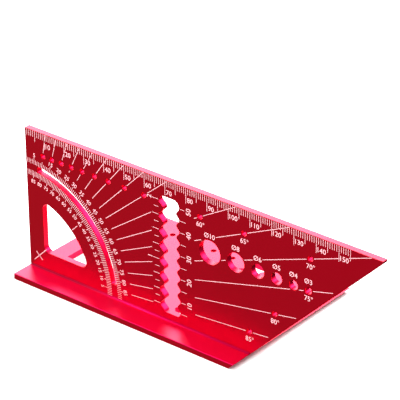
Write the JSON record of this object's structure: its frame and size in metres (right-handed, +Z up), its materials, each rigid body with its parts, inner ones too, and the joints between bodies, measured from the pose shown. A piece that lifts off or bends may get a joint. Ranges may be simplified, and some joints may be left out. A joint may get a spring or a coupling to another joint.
{
  "type": "three-plane speed square",
  "caption": "Aluminium marking square: an upright scale plate with a mitred end, protractor slot, notched scribing slot and gauge holes, a slotted base plate and a narrow fence lip.",
  "frame": {"origin": "middle of the footprint, on the underside of the base plate", "axes": "+X along the ruler edge towards the mitred tip, +Y back over the base plate, +Z up the scale plate"},
  "size_m": [0.169, 0.072, 0.0625],
  "materials": {
    "red_anodised": "satin red anodised aluminium",
    "laser_marking": "pale matt laser marking in the anodised face"
  },
  "bodies": {
    "root": {"scale_plate": "red_anodised", "base_plate": "red_anodised", "fence_flange": "red_anodised"}
  },
  "joints": []
}
